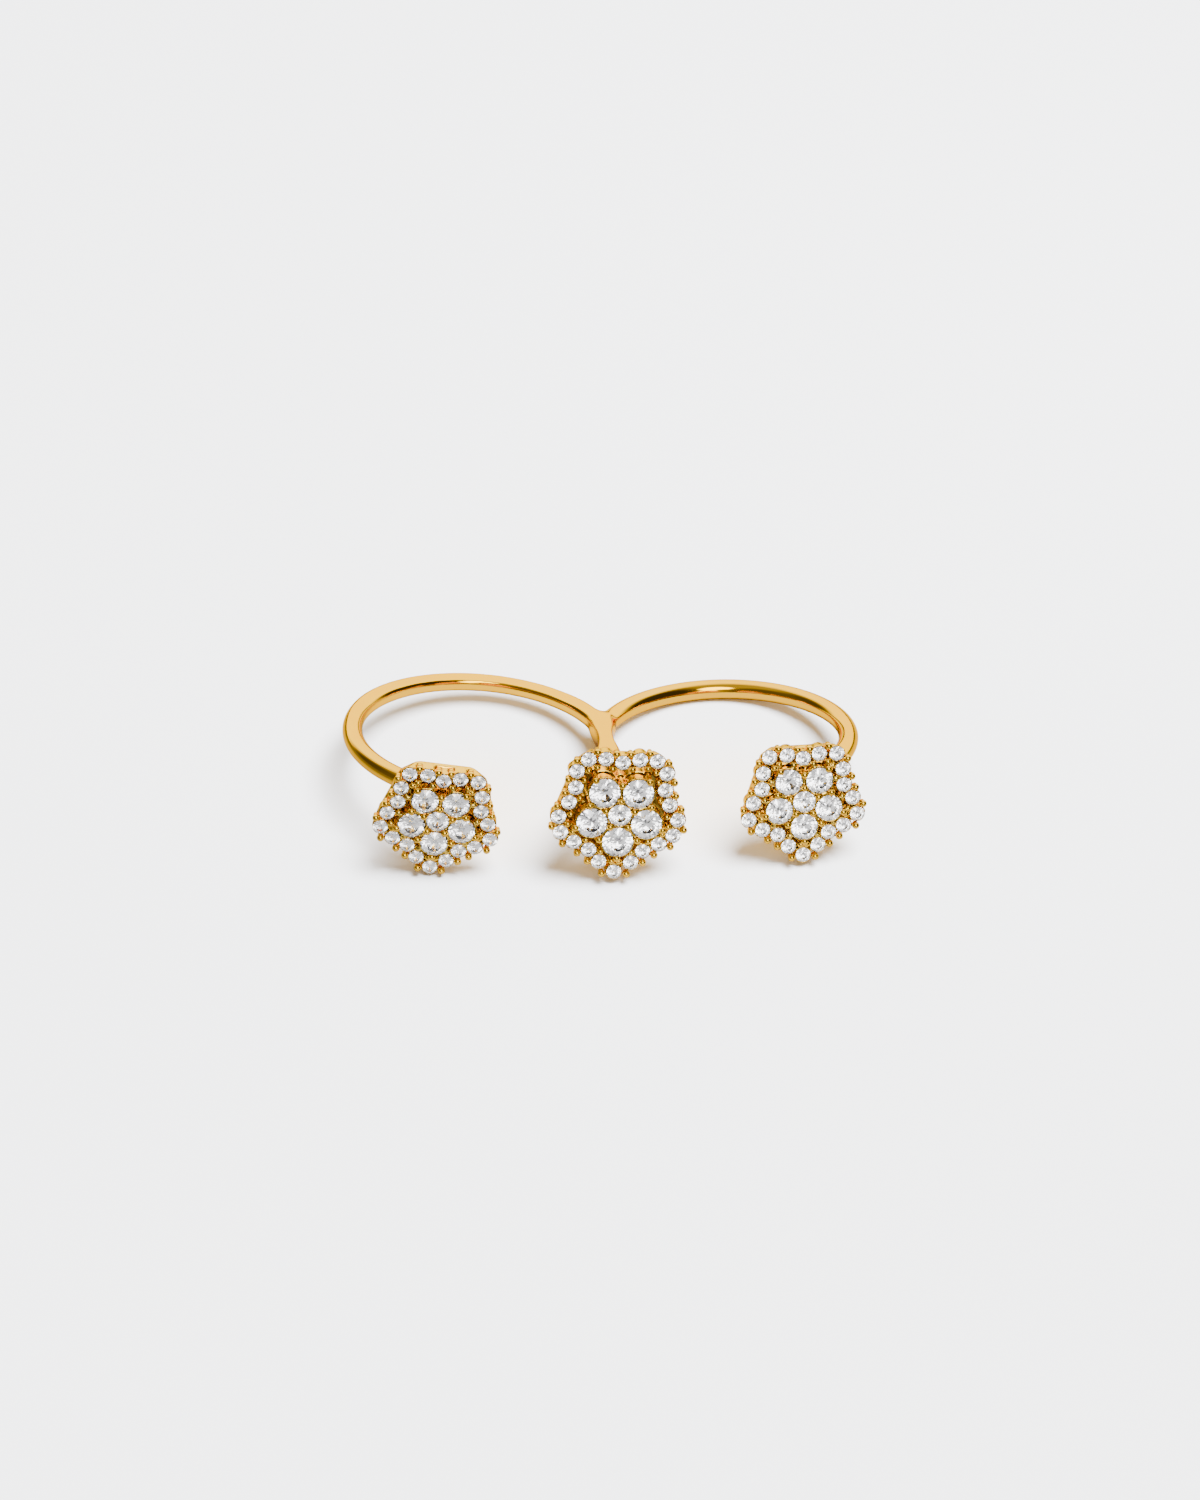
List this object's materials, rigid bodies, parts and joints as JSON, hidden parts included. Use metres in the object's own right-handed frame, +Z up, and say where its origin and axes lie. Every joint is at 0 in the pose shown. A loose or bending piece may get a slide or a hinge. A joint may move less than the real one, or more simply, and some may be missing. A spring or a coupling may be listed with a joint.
{
  "type": "two finger ring",
  "caption": "Ring for two neighbouring fingers: round-wire bands soldered side by side, with a stone-set flower over the joint and at each open end.",
  "frame": {"origin": "middle of the ring's footprint, on the surface that it lies on", "axes": "+X along the row of flowers to the right of someone facing them, -Y towards that person, +Z up with the finger openings upward"},
  "size_m": [0.0388, 0.0234, 0.0106],
  "materials": {
    "gold": "polished yellow gold",
    "stone": "cut and polished clear stone"
  },
  "bodies": {
    "root": {"ring_frame": "gold", "left_petal_1": "stone", "left_petal_2": "stone", "left_petal_3": "stone", "left_petal_4": "stone", "left_petal_5": "stone", "middle_petal_1": "stone", "middle_petal_2": "stone", "middle_petal_3": "stone", "middle_petal_4": "stone", "middle_petal_5": "stone", "right_petal_1": "stone", "right_petal_2": "stone", "right_petal_3": "stone", "right_petal_4": "stone", "right_petal_5": "stone", "left_centre": "stone", "middle_centre": "stone", "right_centre": "stone", "left_halo": "stone", "middle_halo": "stone", "right_halo": "stone"}
  },
  "joints": []
}
